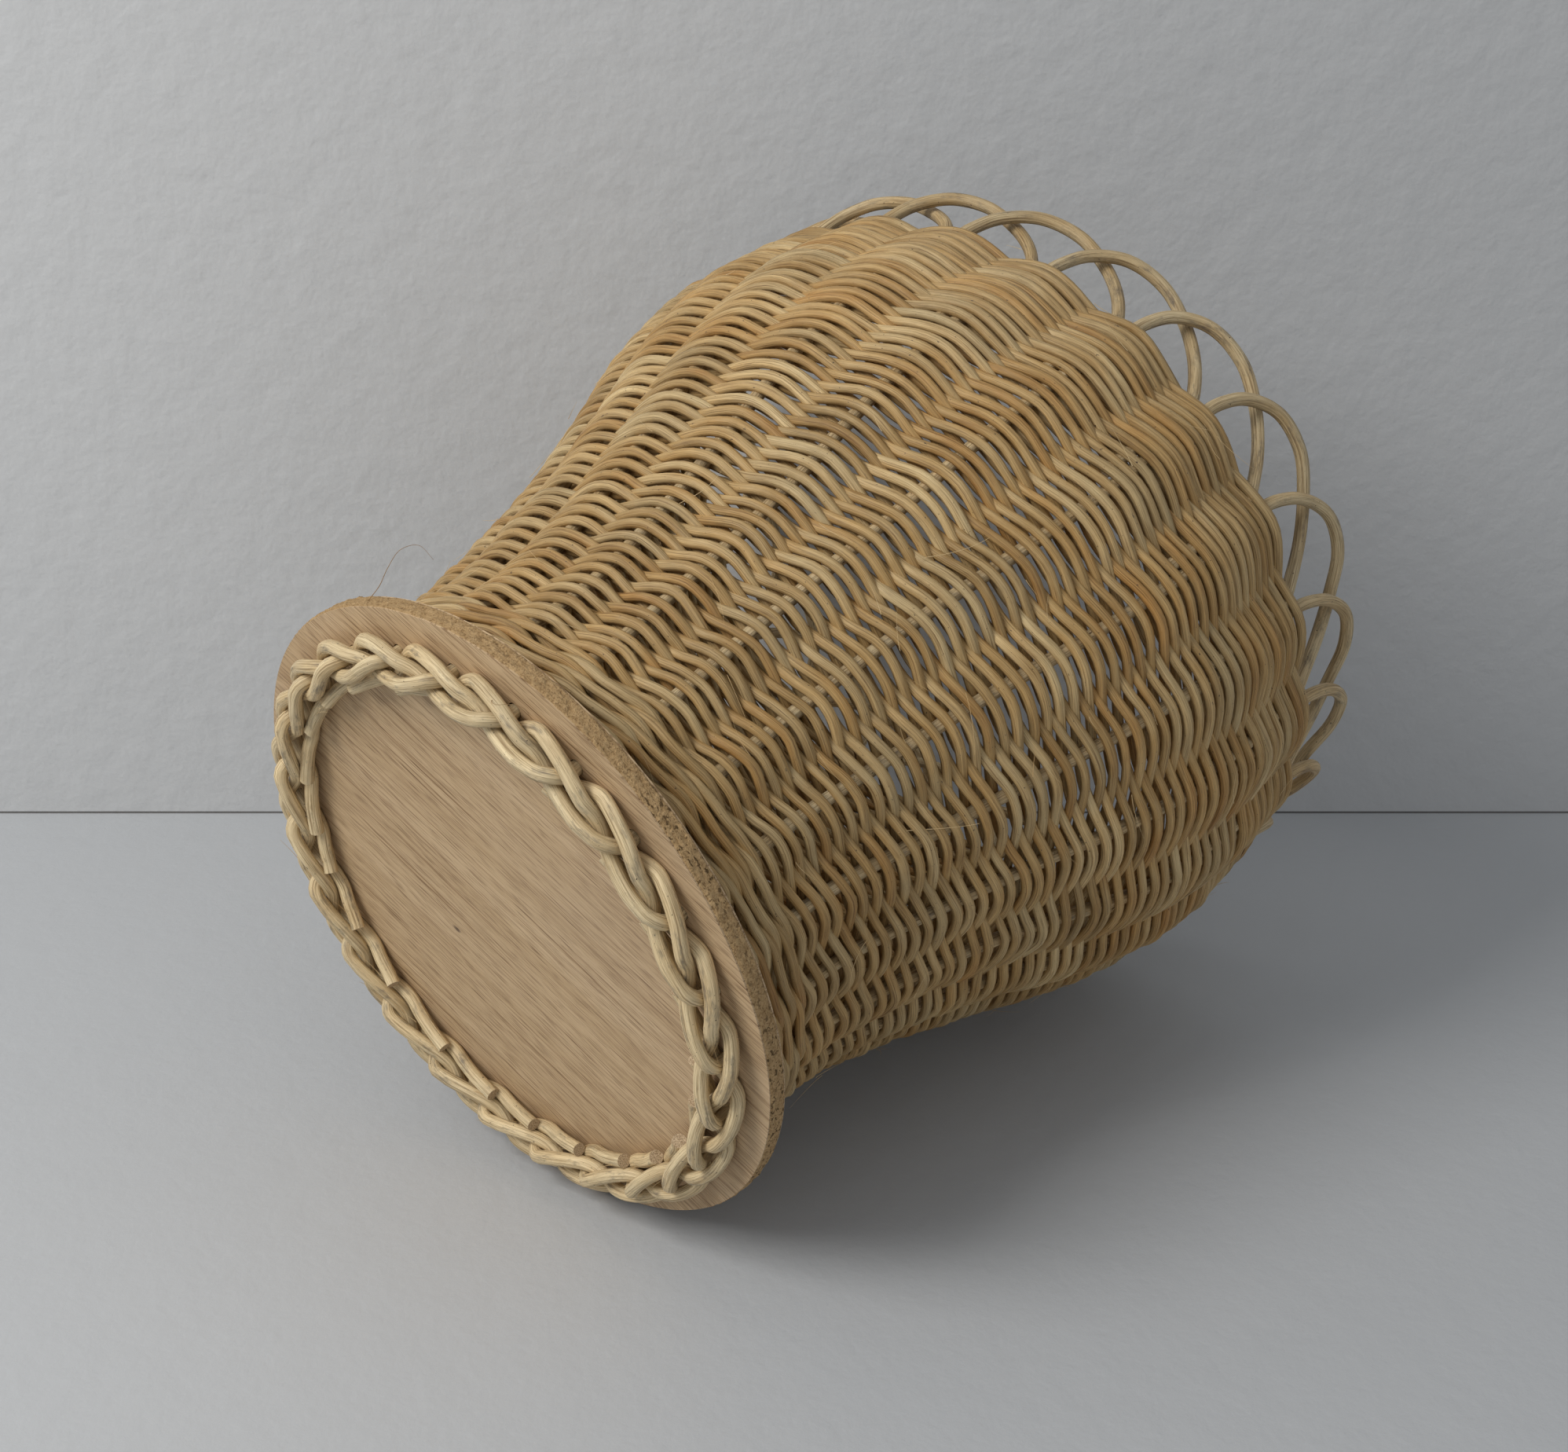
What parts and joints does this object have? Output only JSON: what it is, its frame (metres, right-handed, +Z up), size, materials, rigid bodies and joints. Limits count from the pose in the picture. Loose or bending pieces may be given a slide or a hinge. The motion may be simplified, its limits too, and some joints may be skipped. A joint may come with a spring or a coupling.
{
  "type": "woven wicker basket",
  "caption": "Tall round wicker basket on a drilled plywood disc, with twined cane sides, a scalloped open rim and a plaited foot border.",
  "frame": {"origin": "on the basket's axis, in the plane that the plaited foot border stands on", "axes": "+Z up along the basket's axis, from foot to rim; +X through the first upright stake"},
  "size_m": [0.2633, 0.2634, 0.2575],
  "materials": {
    "ply_face": "matte",
    "ply_core": "rough",
    "weaver_cane": "matte",
    "stake_cane": "matte"
  },
  "bodies": {
    "root": {"base_bottom_veneer": "ply_face", "base_core": "ply_core", "base_top_veneer": "ply_face", "base_wale": "weaver_cane", "weaver_pair_01": "weaver_cane", "weaver_pair_02": "weaver_cane", "weaver_pair_03": "weaver_cane", "weaver_pair_04": "weaver_cane", "weaver_pair_05": "weaver_cane", "weaver_pair_06": "weaver_cane", "weaver_pair_07": "weaver_cane", "weaver_pair_08": "weaver_cane", "weaver_pair_09": "weaver_cane", "weaver_pair_10": "weaver_cane", "weaver_pair_11": "weaver_cane", "stake_01": "stake_cane", "stake_02": "stake_cane", "stake_03": "stake_cane", "stake_04": "stake_cane", "stake_05": "stake_cane", "stake_06": "stake_cane", "stake_07": "stake_cane", "stake_08": "stake_cane", "stake_09": "stake_cane", "stake_10": "stake_cane", "stake_11": "stake_cane", "stake_12": "stake_cane", "stake_13": "stake_cane", "stake_14": "stake_cane", "stake_15": "stake_cane", "stake_16": "stake_cane", "stake_17": "stake_cane", "stake_18": "stake_cane", "stake_19": "stake_cane", "stake_20": "stake_cane", "stake_21": "stake_cane", "stake_22": "stake_cane", "stake_23": "stake_cane", "stake_24": "stake_cane"}
  },
  "joints": []
}
